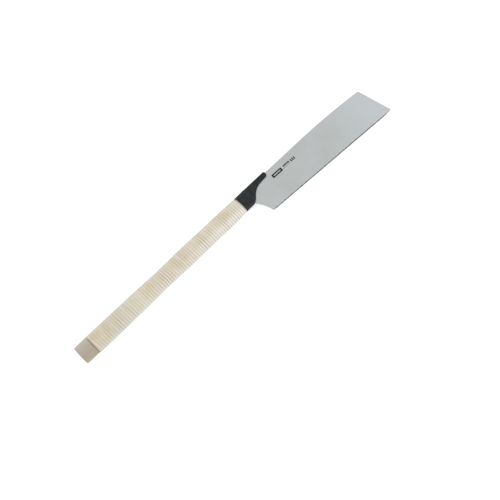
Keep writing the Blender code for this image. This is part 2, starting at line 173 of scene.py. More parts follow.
# View and light
TARGET = (0.2982, -0.0653, 0.0)
CAMERA_PLACE = (0.0622, -0.2927, 0.9003)
CAMERA_LENS = 43.2
RATTAN_LIGHT = 1.1
LAMP_PLACE = (1.0, -1.12, 0.34)
LAMP_SIZE = 0.3
LAMP_POWER = 3.0
FLOOR_HALF_SIZE = 4
FLOOR_GAP = 0.1 * MM
FLOOR_GLOW = 0.45


def tone(red, green, blue):
    """A screen colour, 0 to 255, as the linear colour that a shader takes."""
    made = []
    for value in (red, green, blue):
        share = value / 255
        made.append(share / 12.92 if share <= 0.04045 else ((share + 0.055) / 1.055) ** 2.4)
    return (*made, 1.0)


def smooth_profile(points, x):
    """Height at x of a smooth curve through the given points, with no overshoot between them."""
    if x <= points[0][0]:
        return points[0][1]
    if x >= points[-1][0]:
        return points[-1][1]
    slopes = [(b[1] - a[1]) / (b[0] - a[0]) for a, b in zip(points, points[1:])]
    tangents = [slopes[0]]
    for a, b in zip(slopes, slopes[1:]):
        tangents.append(2 * a * b / (a + b) if a * b > 0 else 0.0)
    tangents.append(slopes[-1])
    index = max(i for i, point in enumerate(points[:-1]) if point[0] <= x)
    start, end = points[index], points[index + 1]
    width = end[0] - start[0]
    t = (x - start[0]) / width
    return (
        (2 * t**3 - 3 * t**2 + 1) * start[1]
        + (t**3 - 2 * t**2 + t) * width * tangents[index]
        + (3 * t**2 - 2 * t**3) * end[1]
        + (t**3 - t**2) * width * tangents[index + 1]
    )


def ease(start, end, x):
    t = min(max((x - start) / (end - start), 0.0), 1.0)
    return t * t * (3 - 2 * t)


def wrap_size(x):
    """Half height, half width and belly of the rattan's outside."""
    return tuple(smooth_profile(points, x) for points in (WRAP_HALF_HEIGHTS, WRAP_HALF_WIDTHS, WRAP_BELLY))


def under_wrap(x, clearance=STRIP + GAP):
    height, width, belly = wrap_size(x)
    return height - clearance, width - clearance, belly


def spread(start, end, count):
    return [start + (end - start) * i / (count - 1) for i in range(count)]


# ---------------------------------------------------------------- meshes


def link(name, mesh):
    item = bpy.data.objects.new(name, mesh)
    bpy.context.scene.collection.objects.link(item)
    return item


def mesh_from(name, work, sharp_degrees=40):
    bmesh.ops.recalc_face_normals(work, faces=work.faces[:])
    mesh = bpy.data.meshes.new(name)
    work.to_mesh(mesh)
    work.free()
    mesh.shade_smooth()
    mesh.set_sharp_from_angle(angle=math.radians(sharp_degrees))
    return mesh


def loft(name, rings, closed_path=False, sharp_degrees=40):
    """Skin over rings of equal length; capped at both ends, or closed round on itself."""
    work = bmesh.new()
    made = [[work.verts.new(point) for point in ring] for ring in rings]
    pairs = list(zip(made, made[1:]))
    if closed_path:
        pairs.append((made[-1], made[0]))
    for first, second in pairs:
        for i in range(len(first)):
            j = (i + 1) % len(first)
            work.faces.new((first[i], first[j], second[j], second[i]))
    if not closed_path:
        work.faces.new(made[0])
        work.faces.new(made[-1])
    return link(name, mesh_from(name, work, sharp_degrees))


def prism(name, outline, low, high, holes=()):
    """A flat outline in the saw's frame, from z = low to z = high, with holes through it."""
    work = bmesh.new()
    loops = [outline, *holes]
    tops = [[work.verts.new((x, y, high)) for x, y in loop] for loop in loops]
    bottoms = [[work.verts.new((x, y, low)) for x, y in loop] for loop in loops]
    edges = []
    for loop in tops:
        edges += [work.edges.new((loop[i - 1], loop[i])) for i in range(len(loop))]
    bmesh.ops.triangle_fill(work, edges=edges, use_beauty=True)
    below = {top: bottom for t, b in zip(tops, bottoms) for top, bottom in zip(t, b)}
    for face in work.faces[:]:
        work.faces.new([below[vert] for vert in reversed(face.verts)])
    for top, bottom in zip(tops, bottoms):
        for i in range(len(top)):
            work.faces.new((top[i - 1], top[i], bottom[i], bottom[i - 1]))
    return link(name, mesh_from(name, work, 30))


def circle(centre, radius, count):
    angles = [math.tau * i / count for i in range(count)]
    return [(centre[0] + radius * math.cos(a), centre[1] + radius * math.sin(a)) for a in angles]


def rivet_holes(places):
    """Cutters right through the saw for rivets at these places."""
    return [prism("hole", circle(place, RIVET_RADIUS + GAP, 24), -20 * MM, 20 * MM) for place in places]


def take_away(item, cutters):
    """Cuts the cutters' shapes out of the item and removes them."""
    for cutter in cutters:
        modifier = item.modifiers.new(cutter.name, "BOOLEAN")
        modifier.operation = "DIFFERENCE"
        modifier.solver = "EXACT"
        modifier.object = cutter
    bake_modifiers(item)
    for cutter in cutters:
        bpy.data.objects.remove(cutter, do_unlink=True)


def bake_modifiers(item):
    bpy.context.view_layer.update()
    graph = bpy.context.evaluated_depsgraph_get()
    mesh = bpy.data.meshes.new_from_object(item.evaluated_get(graph))
    item.modifiers.clear()
    item.data = mesh


def oval_point(x, half_height, half_width, belly, angle):
    """belly is how much further the ellipse reaches on the teeth's side."""
    reach = half_height + belly / 2
    return x, reach * math.cos(angle) - belly / 2, half_width * math.sin(angle)


def oval(x, half_height, half_width, belly=0.0):
    angles = [math.tau * i / OVAL_SIDES for i in range(OVAL_SIDES)]
    return [oval_point(x, half_height, half_width, belly, angle) for angle in angles]


# ---------------------------------------------------------------- materials


class Nodes:
    """A short way to write a material's node tree."""

    def __init__(self, name):
        self.material = bpy.data.materials.new(name)
        self.material.use_nodes = True
        self.tree = self.material.node_tree
        self.shader = self.tree.nodes["Principled BSDF"]
        self.place = None

    def add(self, kind, **settings):
        node = self.tree.nodes.new(kind)
        for key, value in settings.items():
            setattr(node, key, value)
        return node

    def join(self, source, socket):
        if isinstance(source, (int, float, tuple)):
            socket.default_value = source
        else:
            self.tree.links.new(source, socket)

    def position(self):
        if self.place is None:
            self.place = self.add("ShaderNodeTexCoord").outputs["Object"]
        return self.place

    def stretched(self, scale, offset=(0.0, 0.0, 0.0), turn=(0.0, 0.0, 0.0), source=None):
        node = self.add("ShaderNodeMapping")
        node.inputs["Scale"].default_value = scale
        node.inputs["Location"].default_value = offset
        node.inputs["Rotation"].default_value = turn
        self.join(source or self.position(), node.inputs["Vector"])
        return node.outputs["Vector"]

    def noise(self, vector, detail=3.0, roughness=0.55):
        node = self.add("ShaderNodeTexNoise")
        self.join(vector, node.inputs["Vector"])
        node.inputs["Scale"].default_value = 1.0
        node.inputs["Detail"].default_value = detail
        node.inputs["Roughness"].default_value = roughness
        return node.outputs["Fac"]

    def remap(self, value, low, high, to_low=0.0, to_high=1.0, smooth=False):
        node = self.add("ShaderNodeMapRange", clamp=True)
        node.interpolation_type = "SMOOTHSTEP" if smooth else "LINEAR"
        self.join(value, node.inputs["Value"])
        for name, number in (("From Min", low), ("From Max", high), ("To Min", to_low), ("To Max", to_high)):
            node.inputs[name].default_value = number
        return node.outputs["Result"]

    def math(self, operation, first, second=0.0):
        node = self.add("ShaderNodeMath", operation=operation)
        self.join(first, node.inputs[0])
        self.join(second, node.inputs[1])
        return node.outputs["Value"]

    def mix(self, factor, first, second, blend="MIX"):
        """Colour mix. A Mix node's colour sockets are its inputs 6 and 7 and its output 2."""
        node = self.add("ShaderNodeMix", data_type="RGBA", blend_type=blend)
        self.join(factor, node.inputs[0])
        self.join(first, node.inputs[6])
        self.join(second, node.inputs[7])
        return node.outputs[2]

    def bump(self, height, strength, distance):
        node = self.add("ShaderNodeBump")
        node.inputs["Strength"].default_value = strength
        node.inputs["Distance"].default_value = distance
        self.join(height, node.inputs["Height"])
        return node.outputs["Normal"]

    def finish(self, colour, roughness, metallic=0.0, normal=None, specular=0.5):
        self.join(colour, self.shader.inputs["Base Color"])
        self.join(roughness, self.shader.inputs["Roughness"])
        self.shader.inputs["Metallic"].default_value = metallic
        self.shader.inputs["Specular IOR Level"].default_value = specular
        if normal is not None:
            self.join(normal, self.shader.inputs["Normal"])
        return self.material


def scaled(colour, factor):
    return (*(channel * factor for channel in colour[:3]), 1.0)


def scaled_node(n, colour, factor):
    return n.mix(1.0, colour, (factor, factor, factor, 1.0), "MULTIPLY")


def rattan_material():
    """Split cane, streaked along the strip, with painted shade in the grooves, a painted highlight on the
    teeth's side and a painted grey sheen at the oval's two edges.
    """
    n = Nodes("rattan_cane")
    strip = n.add("ShaderNodeAttribute", attribute_name="strip").outputs["Vector"]
    parts = n.add("ShaderNodeSeparateXYZ")
    n.join(strip, parts.inputs["Vector"])
    along, across, turn_tone = parts.outputs["X"], parts.outputs["Y"], parts.outputs["Z"]
    cream = scaled(tone(214, 208, 191), RATTAN_LIGHT)
    straw = scaled(tone(211, 196, 166), RATTAN_LIGHT)
    blush = scaled(tone(219, 204, 190), RATTAN_LIGHT)
    grey = scaled(tone(196, 192, 176), RATTAN_LIGHT)
    brown = scaled(tone(120, 96, 66), RATTAN_LIGHT)
    patches = n.noise(n.stretched((60.0, 60.0, 60.0)), 2.0)
    other = n.noise(n.stretched((45.0, 45.0, 45.0), (7.0, 3.0, 1.0)), 2.0)
    colour = n.mix(n.remap(patches, 0.48, 0.66), cream, straw)
    colour = n.mix(n.remap(other, 0.5, 0.7), colour, blush)
    colour = n.mix(n.remap(turn_tone, 0.0, 1.0, 0.0, 0.55), colour, grey)
    run = n.stretched((55.0, 5.0, 1.0), source=strip)
    streaks = n.noise(run, 4.0, 0.6)
    colour = n.mix(n.remap(streaks, 0.45, 0.75, 0.0, 0.35), colour, straw)
    fibres = n.noise(n.stretched((260.0, 22.0, 1.0), source=strip), 3.0, 0.6)
    colour = n.mix(n.remap(fibres, 0.5, 0.8, 0.0, 0.22), colour, brown)
    specks = n.noise(n.stretched((38.0, 1.3, 1.0), (2.0, 9.0, 0.0), source=strip), 1.0)
    colour = n.mix(n.remap(specks, 0.7, 0.78, 0.0, 0.5, True), colour, brown)
    edge = n.math("ABSOLUTE", across)
    place = n.add("ShaderNodeSeparateXYZ")
    n.join(n.position(), place.inputs["Vector"])
    # Painted highlight: a paler band on the teeth's side, toward the head.
    painted_tooth_side_highlight = n.math(
        "MULTIPLY",
        n.remap(place.outputs["X"], 180 * MM, 330 * MM, 0.0, 0.9, True),
        n.remap(place.outputs["Y"], -10 * MM, -1 * MM, 1.0, 0.0, True),
    )
    colour = n.mix(painted_tooth_side_highlight, colour, tone(230, 225, 215))
    # Painted grey sheen toward the oval's two edges, on the spine and teeth's sides.
    side = n.math("ABSOLUTE", n.math("ADD", place.outputs["Y"], WRAP_BELLY[0][1] / 2))
    colour = n.mix(n.remap(side, 10.5 * MM, 16 * MM, 0.0, 0.8, True), colour, tone(203, 206, 201))
    handled = n.remap(place.outputs["X"], 40 * MM, 130 * MM, 0.07, 0.0, True)
    colour = n.mix(handled, colour, brown)
    # Painted shade in the grooves between turns: strong on the teeth's side, faint toward the spine.
    groove_shade_by_side = n.remap(place.outputs["Y"], -6 * MM, 6 * MM, 0.55, 0.04, True)
    painted_groove_shade = n.math("MULTIPLY", n.remap(edge, 0.8, 1.0, 0.0, 1.0, True), groove_shade_by_side)
    colour = n.mix(painted_groove_shade, colour, brown)
    roughness = n.remap(streaks, 0.3, 0.7, 0.4, 0.52)
    normal = n.bump(fibres, 0.4, 0.04 * MM)
    return n.finish(colour, roughness, normal=normal, specular=0.3)


def wood_material():
    """Long-grained pale wood, with a painted sheen paling it toward the spine, and grime with painted shade
    where the winding begins.
    """
    n = Nodes("handle_wood_grain")
    pale = tone(186, 176, 160)
    mid = tone(168, 154, 136)
    dark = tone(128, 112, 94)
    bent = n.noise(n.stretched((9.0, 40.0, 40.0)), 2.0)
    wave = n.add("ShaderNodeTexWave", wave_type="RINGS", rings_direction="X")
    n.join(n.stretched((0.6, 1.0, 1.0), (0.0, 0.052, 0.031)), wave.inputs["Vector"])
    wave.inputs["Scale"].default_value = 125.0
    wave.inputs["Distortion"].default_value = 2.2
    wave.inputs["Detail"].default_value = 3.0
    wave.inputs["Detail Scale"].default_value = 0.5
    rings = wave.outputs["Fac"]
    colour = n.mix(n.remap(rings, 0.2, 0.95, 0.0, 0.75, True), pale, mid)
    colour = n.mix(n.remap(bent, 0.45, 0.75, 0.0, 0.5), colour, mid)
    pores = n.noise(n.stretched((55.0, 1500.0, 1500.0)), 3.0, 0.65)
    colour = n.mix(n.remap(pores, 0.56, 0.76, 0.0, 0.45), colour, dark)
    handled = n.noise(n.stretched((90.0, 130.0, 130.0), (4.0, 2.0, 8.0)), 3.0)
    colour = n.mix(n.remap(handled, 0.55, 0.8, 0.0, 0.3), colour, dark)
    parts = n.add("ShaderNodeSeparateXYZ")
    n.join(n.position(), parts.inputs["Vector"])
    # Grime with painted shade along the step where the winding begins; ragged edge, strongest in the middle
    # and on the teeth's side.
    ragged = n.noise(n.stretched((120.0, 260.0, 260.0), (1.0, 6.0, 2.0)), 3.0)
    reach = n.math("ADD", parts.outputs["X"], n.remap(ragged, 0.3, 0.7, -1.4 * MM, 1.4 * MM))
    grime_and_step_shade = n.remap(reach, WRAP_START - 3.4 * MM, WRAP_START - 0.4 * MM, 0.0, 0.75, True)
    grime_and_step_shade = n.math("MULTIPLY", grime_and_step_shade, n.remap(parts.outputs["Y"], 4 * MM, 13 * MM, 1.0, 0.1, True))
    # Painted sheen: the wood lighter and greyer toward the spine side.
    spine_side_sheen = n.remap(parts.outputs["Y"], -10 * MM, 14 * MM, 0.0, 0.6, True)
    colour = n.mix(spine_side_sheen, scaled_node(n, colour, 0.9), tone(196, 193, 182))
    colour = n.mix(grime_and_step_shade, colour, dark)
    roughness = n.remap(pores, 0.3, 0.8, 0.55, 0.75)
    normal = n.bump(pores, 0.4, 0.05 * MM)
    return n.finish(colour, roughness, normal=normal, specular=0.4)


def steel_nodes(name, low, high, roughness_low, roughness_high):
    """Ground steel: cloudy tone, fine grinding lines along the length and a few crossing scratches."""
    n = Nodes(name)
    clouds = n.noise(n.stretched((22.0, 30.0, 60.0)), 3.0)
    colour = n.mix(n.remap(clouds, 0.3, 0.7), low, high)
    lines = n.noise(n.stretched((30.0, 3200.0, 3200.0)), 4.0, 0.7)
    colour = n.mix(n.remap(lines, 0.4, 0.75, 0.0, 0.16), colour, scaled(low, 0.7))
    scratches = n.noise(n.stretched((40.0, 2400.0, 800.0), (3.0, 1.0, 0.0), (0.0, 0.0, 0.35)), 1.0)
    scratch = n.remap(scratches, 0.76, 0.8)
    colour = n.mix(n.math("MULTIPLY", scratch, 0.2), colour, scaled(high, 1.25))
    smears = n.noise(n.stretched((55.0, 90.0, 60.0), (9.0, 4.0, 0.0)), 4.0, 0.6)
    roughness = n.remap(smears, 0.3, 0.75, roughness_low, roughness_high)
    normal = n.bump(lines, 0.25, 0.01 * MM)
    return n, colour, roughness, normal


def blade_material():
    """Ground steel with a darkened line behind the hardened teeth and a painted reflection lightening it
    toward the toe.
    """
    dark, light = tone(184, 189, 188), tone(191, 195, 195)
    n, colour, roughness, normal = steel_nodes("blade_ground_steel", dark, light, 0.3, 0.42)
    parts = n.add("ShaderNodeSeparateXYZ")
    n.join(n.position(), parts.inputs["Vector"])
    # Painted reflection: the blade lighter and bluer toward the toe.
    toe_painted_reflection = n.remap(parts.outputs["X"], 0.53, 0.65, 0.0, 0.7, True)
    colour = n.mix(toe_painted_reflection, colour, tone(200, 204, 209))
    heel, toe = Vector(FIRST_TOOTH), Vector(LAST_TOOTH)
    run = (toe - heel).normalized()
    inward = (-run.y, run.x, 0.0)
    height = n.add("ShaderNodeVectorMath", operation="DOT_PRODUCT")
    n.join(n.position(), height.inputs[0])
    n.join(inward, height.inputs[1])
    line = heel.x * inward[0] + heel.y * inward[1]
    above = n.math("SUBTRACT", height.outputs["Value"], line)
    wobble = n.noise(n.stretched((260.0, 40.0, 40.0), (5.0, 5.0, 5.0)), 2.0)
    reach = n.math("SUBTRACT", above, n.remap(wobble, 0.4, 0.6, 0.0, 0.8 * MM))
    heated = n.remap(reach, TOOTH_DEPTH + 0.1 * MM, TOOTH_DEPTH + 0.6 * MM, 0.95, 0.0, True)
    colour = n.mix(heated, colour, tone(44, 46, 51))
    return n.finish(colour, roughness, 1.0, normal)


def edge_material():
    dark, light = tone(120, 124, 124), tone(150, 153, 153)
    n, colour, roughness, normal = steel_nodes("blade_cut_edge", dark, light, 0.4, 0.5)
    return n.finish(colour, roughness, 1.0, normal)


def tooth_material():
    n = Nodes("blade_hardened_teeth")
    clouds = n.noise(n.stretched((500.0, 500.0, 500.0)), 3.0)
    bands = n.noise(n.stretched((190.0, 40.0, 40.0)), 2.0)
    colour = n.mix(n.remap(clouds, 0.35, 0.65), tone(24, 25, 28), tone(40, 42, 44))
    colour = n.mix(n.remap(bands, 0.5, 0.66, 0.0, 0.5, True), colour, tone(90, 92, 94))
    return n.finish(colour, n.remap(clouds, 0.3, 0.7, 0.35, 0.5), 1.0)


def ink_material():
    n = Nodes("printed_ink")
    worn = n.noise(n.stretched((900.0, 900.0, 900.0)), 4.0, 0.7)
    colour = n.mix(n.remap(worn, 0.55, 0.8, 0.0, 0.35), tone(14, 16, 18), tone(60, 63, 64))
    return n.finish(colour, n.remap(worn, 0.3, 0.7, 0.5, 0.65), specular=0.3)


def black_material():
    n = Nodes("blackened_steel")
    grain = n.noise(n.stretched((1700.0, 1700.0, 1700.0)), 3.0, 0.6)
    clouds = n.noise(n.stretched((130.0, 130.0, 130.0)), 3.0)
    colour = n.mix(n.remap(clouds, 0.35, 0.65), tone(23, 27, 27), tone(41, 45, 46))
    colour = n.mix(n.remap(grain, 0.6, 0.75, 0.0, 0.4), colour, tone(58, 64, 64))
    geometry = n.add("ShaderNodeNewGeometry")
    worn = n.remap(geometry.outputs["Pointiness"], 0.53, 0.6, 0.0, 0.35)
    colour = n.mix(n.math("MULTIPLY", worn, n.remap(clouds, 0.4, 0.6)), colour, tone(110, 114, 114))
    roughness = n.remap(clouds, 0.3, 0.7, 0.48, 0.62)
    normal = n.bump(grain, 0.35, 0.04 * MM)
    return n.finish(colour, roughness, normal=normal, specular=0.22)


def collar_material():
    n = Nodes("collar_pale_metal")
    clouds = n.noise(n.stretched((200.0, 90.0, 90.0)), 3.0)
    turned = n.noise(n.stretched((6000.0, 60.0, 60.0)), 2.0)
    colour = n.mix(n.remap(clouds, 0.3, 0.7), tone(188, 189, 184), tone(200, 201, 197))
    colour = n.mix(n.remap(turned, 0.5, 0.7, 0.0, 0.25), colour, tone(170, 171, 168))
    normal = n.bump(turned, 0.3, 0.02 * MM)
    return n.finish(colour, n.remap(clouds, 0.3, 0.7, 0.34, 0.46), 0.6, normal)


def plain_steel_material(name, dark, light):
    n, colour, roughness, normal = steel_nodes(name, dark, light, 0.28, 0.42)
    return n.finish(colour, roughness, 1.0, normal)


def floor_material():
    n = Nodes("pale_floor")
    clouds = n.noise(n.stretched((3.0, 3.0, 3.0)), 2.0)
    colour = n.mix(n.remap(clouds, 0.3, 0.7), (0.9, 0.9, 0.9, 1.0), (0.93, 0.93, 0.93, 1.0))
    n.shader.inputs["Emission Color"].default_value = (1.0, 1.0, 1.0, 1.0)
    n.shader.inputs["Emission Strength"].default_value = FLOOR_GLOW
    return n.finish(colour, 0.9, specular=0.1)


# ---------------------------------------------------------------- handle


def wood_core(material):
    rings = []
    for i in range(5):
        angle = math.radians(90 * i / 4)
        inset = BUTT_ROUND * (1 - math.sin(angle))
        x = BUTT_ROUND * (1 - math.cos(angle))
        rings.append(oval(x, BUTT_HALF_HEIGHT - inset, BUTT_HALF_WIDTH - inset))
    rings.append(oval(WRAP_START - MM, BUTT_HALF_HEIGHT, BUTT_HALF_WIDTH))
    for x in spread(WRAP_START, NECK_START - GAP, 40):
        rings.append(oval(x, *under_wrap(x)))
    nose = STRIP + NECK_SHEET + 2 * GAP
    for x in spread(NECK_START - GAP, HANDLE_END, 8):
        rings.append(oval(x, *under_wrap(x, nose)))
    core = loft("handle_wood_core", rings)
    core.data.materials.append(material)
    half = LEG_HALF_HEIGHT + GAP
    start, outside, depth = LEG_START - GAP, SHELL_START, CLAMP_HALF_WIDTH + GAP
    pocket = [(start, -half), (outside, -half), (outside, half), (start, half)]
    cutters = [prism("mortise", pocket, -depth, depth)]
    cutters += rivet_holes(TANG_RIVETS + NECK_RIVETS)
    take_away(core, cutters)
    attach(core, "handle")
    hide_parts("handle_core")


def turn_edge(turns):
    """Where the strip's edge runs after this many turns, a little uneven as in hand winding."""
    uneven = noise.noise(Vector((turns * 0.83, 4.2, 0.7))) * 0.42 * MM
    uneven += noise.noise(Vector((turns * 7.0, 1.2, 9.7))) * 0.1 * MM
    return WRAP_START + TURN_PITCH * turns + uneven


def rattan_winding(material):
    """One crowned strip wound from the butt to the collar, its two ends tapered to a square edge."""
    rng = random.Random(WINDING_SEED)
    turns = round((WRAP_END - WRAP_START) / TURN_PITCH)
    lifts = [rng.uniform(0.0, LOOSEST_LIFT) * MM for _ in range(turns + 3)]
    tones = [rng.random() for _ in range(turns + 3)]
    tilts = [rng.uniform(-LARGEST_TILT, LARGEST_TILT) * MM for _ in range(turns + 3)]
    gaps = [rng.choice(STRIP_GAPS) * MM for _ in range(turns + 3)]
    section = [(-across, height) for across, height in reversed(STRIP_CROWN)] + list(STRIP_CROWN)
    work = bmesh.new()
    layer = work.verts.layers.float_vector.new("strip")
    rows = []
    for step in range((turns + 1) * TURN_STEPS + 1):
        wound = step / TURN_STEPS
        low = min(max(turn_edge(wound - 1), WRAP_START), WRAP_END)
        high = min(max(turn_edge(wound), WRAP_START), WRAP_END)
        if wound - 1 <= 0:
            low = WRAP_START
        if wound >= turns:
            high = WRAP_END
        index = int(wound)
        share = ease(0.0, 1.0, wound - index)
        lift, tilt, turn_tone, gap = (
            values[index] * (1 - share) + values[index + 1] * share for values in (lifts, tilts, tones, gaps)
        )
        middle, half = (low + high) / 2, max((high - low - gap) / 2, THINNEST)
        angle = math.tau * wound
        full = min(half / (TURN_PITCH * 0.3), 1.0)
        row = []
        for across, height in section:
            x = middle + across * half
            top = STRIP * (0.3 + 0.7 * height * full) if height else 0.0
            depth = STRIP - top + (lift + tilt * across if height else 0.0)
            depth = max(depth, THINNEST)
            tall, wide, belly = wrap_size(x)
            vert = work.verts.new(oval_point(x, tall - depth, wide - depth, belly, angle))
            vert[layer] = Vector((angle * 15 * MM, across, turn_tone))
            row.append(vert)
        rows.append(row)
    for first, second in zip(rows, rows[1:]):
        for i in range(len(section)):
            j = (i + 1) % len(section)
            work.faces.new((first[i], first[j], second[j], second[i]))
    work.faces.new(rows[0])
    work.faces.new(rows[-1])
    winding = link("rattan_winding", mesh_from("rattan_winding", work, 60))
    winding.data.materials.append(material)
    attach(winding, "handle")
    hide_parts("rattan_wrap")


def collar(material):
    wall = COLLAR_HALF_HEIGHT - under_wrap(COLLAR_START)[0] - GAP
    corner = 0.4 * MM
    section = [(COLLAR_START, wall), (COLLAR_END, wall)]
    for centre_x, first in ((COLLAR_END - corner, 0), (COLLAR_START + corner, 90)):
        for i in range(5):
            angle = math.radians(first + 90 * i / 4)
            section.append((centre_x + corner * math.cos(angle), corner * (1 - math.sin(angle))))
    rings = [oval(x, COLLAR_HALF_HEIGHT - d, COLLAR_HALF_WIDTH - d) for x, d in section]
    ring = loft("collar_ring", rings, closed_path=True)
    ring.data.materials.append(material)
    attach(ring, "handle")
    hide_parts("front_collar")


# ---------------------------------------------------------------- head


def half_section(top, bottom, half_width, fold, lip):
    """Half of the folded sheet's outer path, from the spine over one cheek to its lip, as (y, z) points."""
    arc_steps, cheek_steps, first_angle = 10, 22, 4
    middle = (top + bottom) / 2
    corner_z = half_width + (FOLD_RADIUS - half_width) * fold
    corner_y = (top - middle) + (FOLD_RADIUS - (top - middle)) * fold
    path = [Vector((top, 0.0))]
    for i in range(arc_steps + 1):
        angle = math.radians(first_angle + (90 - first_angle) * i / arc_steps)
        y = top - corner_y * (1 - math.cos(angle))
        path.append(Vector((y, half_width - corner_z * (1 - math.sin(angle)))))
    shoulder = top - corner_y
    straight = min(1.0, 1.6 * fold)
    for i in range(1, cheek_steps + 1):
        y = shoulder - (shoulder - bottom) * math.sin(math.pi / 2 * i / cheek_steps)
        down = max((middle - y) / (middle - bottom), 0.0)
        spread_out = (1 - straight) * math.sqrt(max(1 - down**2, 0.0)) + straight * (1 - down**2)
        path.append(Vector((y, lip + (half_width - lip) * spread_out)))
    return path


def inset_path(path, sheet):
    moved = []
    for i, point in enumerate(path):
        after = path[min(i + 1, len(path) - 1)]
        before = path[i - 1] if i else Vector((path[1].x, -path[1].y))
        along = (after - before).normalized()
        moved.append(point + Vector((-along.y, along.x)) * sheet)
    return moved


def shell_ring(x_outer, x_inner, outer, sheet):
    """One closed C-shaped section, its lips rounded a little."""
    inner = inset_path(outer, sheet)
    round_off = 0.3 * sheet
    ends = []
    for path, other in ((outer, inner), (inner, outer)):
        back = (path[-2] - path[-1]).normalized() * round_off
        side = (other[-1] - path[-1]).normalized() * round_off
        ends.append((path[-1] + back, path[-1] + side))
    outer_side = outer[:-1] + [outer[-1] + (outer[-2] - outer[-1]) * 0.3, ends[0][1]]
    inner_side = inner[:-1] + [inner[-1] + (inner[-2] - inner[-1]) * 0.3, ends[1][1]]
    ring = [(x_outer, p.x, -p.y) for p in outer_side[:0:-1]]
    ring += [(x_outer, p.x, p.y) for p in outer_side]
    ring += [(x_inner, p.x, p.y) for p in inner_side[::-1]]
    ring += [(x_inner, p.x, -p.y) for p in inner_side[1:]]
    return ring


def neck_section(x):
    height, width, belly = under_wrap(x)
    return half_section(height, -height - belly, width, 0.0, LIP_HALF_GAP)


def shell_section(x):
    fold = ease(SHELL_START + MM, BEAK_START, x)
    half_width = SHELL_HALF_WIDTH + (BEAK_HALF_WIDTH - SHELL_HALF_WIDTH) * fold
    lip = LIP_HALF_GAP + (BEAK_HALF_WIDTH - LIP_HALF_GAP) * ease(SHELL_START + MM, LIP_OPEN, x)
    into_tip = min(max(x - (SHELL_TIP - TIP_LENGTH), 0.0) / TIP_LENGTH, 1.0)
    top = smooth_profile(SHELL_UPPER_EDGE, x) - TIP_ROUNDING * (1 - math.sqrt(1 - into_tip**2))
    return half_section(top, smooth_profile(SHELL_LOWER_EDGE, x), half_width, fold, lip)


def head(material):
    rings = []
    for x in [*spread(NECK_START, WRAP_END, 8), SHELL_START]:
        x_inner = x if x < SHELL_START else x + SHEET
        rings.append(shell_ring(x, x_inner, neck_section(x), NECK_SHEET))
    first = SHELL_START + 0.25 * MM
    rings.append(shell_ring(first, first + SHEET, shell_section(first), SHEET))
    places = spread(SHELL_START + 2 * MM, BEAK_START, 44)
    places += spread(BEAK_START + MM, SHELL_TIP - 2.6 * MM, 40)
    tip_shares = (0.0, 0.25, 0.45, 0.6, 0.72, 0.82, 0.9, 0.96, 1.0)
    places += [SHELL_TIP - TIP_LENGTH * (1 - share) for share in tip_shares]
    for x in places:
        rings.append(shell_ring(x, x, shell_section(x), SHEET))
    shell = loft("head_folded_shell", rings, sharp_degrees=45)
    shell.data.materials.append(material)
    take_away(shell, rivet_holes(NECK_RIVETS))
    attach(shell, "handle")
    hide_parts("head_shell")


# ---------------------------------------------------------------- blade


def quadratic(start, pull, end, steps):
    points = []
    for i in range(1, steps + 1):
        t = i / steps
        first, second, third = (1 - t) ** 2, 2 * t * (1 - t), t**2
        points.append(tuple(first * a + second * b + third * c for a, b, c in zip(start, pull, end)))
    return points


def arc(centre, radius, start_degrees, end_degrees, steps):
    points = []
    for i in range(steps + 1):
        angle = math.radians(start_degrees + (end_degrees - start_degrees) * i / steps)
        points.append((centre[0] + radius * math.cos(angle), centre[1] + radius * math.sin(angle)))
    return points


def rounded(corner, before, after, size, steps=8):
    here = Vector(corner)
    start = here + (Vector(before) - here).normalized() * size
    end = here + (Vector(after) - here).normalized() * size
    return [tuple(start)] + quadratic(tuple(start), corner, tuple(end), steps)


def plain_edges():
    """The blade's outline apart from its teeth, from the toe round the spine and the hook to the heel."""
    hook = arc(PIVOT, HOOK_RADIUS, 101, 178, 24)
    hook += [
        (PIVOT[0] - 12.6 * MM, PIVOT[1] - 1.2 * MM),
        (PIVOT[0] - 6.6 * MM, PIVOT[1] - 3.0 * MM),
    ]
    hook += arc(PIVOT, NOTCH_RADIUS, 202, 0, 30)
    hook += quadratic(hook[-1], (THROAT[0], PIVOT[1] - 1 * MM), THROAT, 6)
    heel = [HEEL_TOP, *quadratic(HEEL_TOP, HEEL_PULL, HEEL_CORNER, 20)[:-1]]
    heel += rounded(HEEL_CORNER, heel[-1], FIRST_TOOTH, 2.0 * MM)
    toe = rounded(TOE_BOTTOM, LAST_TOOTH, TOE_TOP, 1.5 * MM)
    toe += rounded(TOE_TOP, TOE_BOTTOM, SPINE_PULL, 2.5 * MM)
    spine = quadratic(TOE_TOP, SPINE_PULL, SPINE_BEND, 28)[1:]
    spine += rounded(SPINE_START, SPINE_BEND, hook[0], 1.0 * MM)
    return toe + spine + hook + heel


def tooth_line():
    """Gullets from the heel to the toe, and the tooth point after each but the last."""
    heel, toe = Vector(FIRST_TOOTH), Vector(LAST_TOOTH)
    along = (toe - heel).normalized()
    inward = Vector((-along.y, along.x))
    pitch = (toe - heel).length / TOOTH_COUNT
    roots = [heel + along * pitch * k + inward * TOOTH_DEPTH for k in range(TOOTH_COUNT + 1)]
    points = [heel + along * pitch * (k + TOOTH_LEAN) for k in range(TOOTH_COUNT)]
    return roots, points


def pulled_in(points, distance):
    """Each point moved into the shape. The outline runs with the shape's inside on its left."""
    moved = []
    for i, point in enumerate(points):
        here = Vector(point)
        before = Vector(points[i - 1]) if i else here
        after = Vector(points[i + 1]) if i + 1 < len(points) else here
        along = (after - before).normalized()
        moved.append(here + Vector((-along.y, along.x)) * distance)
    return moved


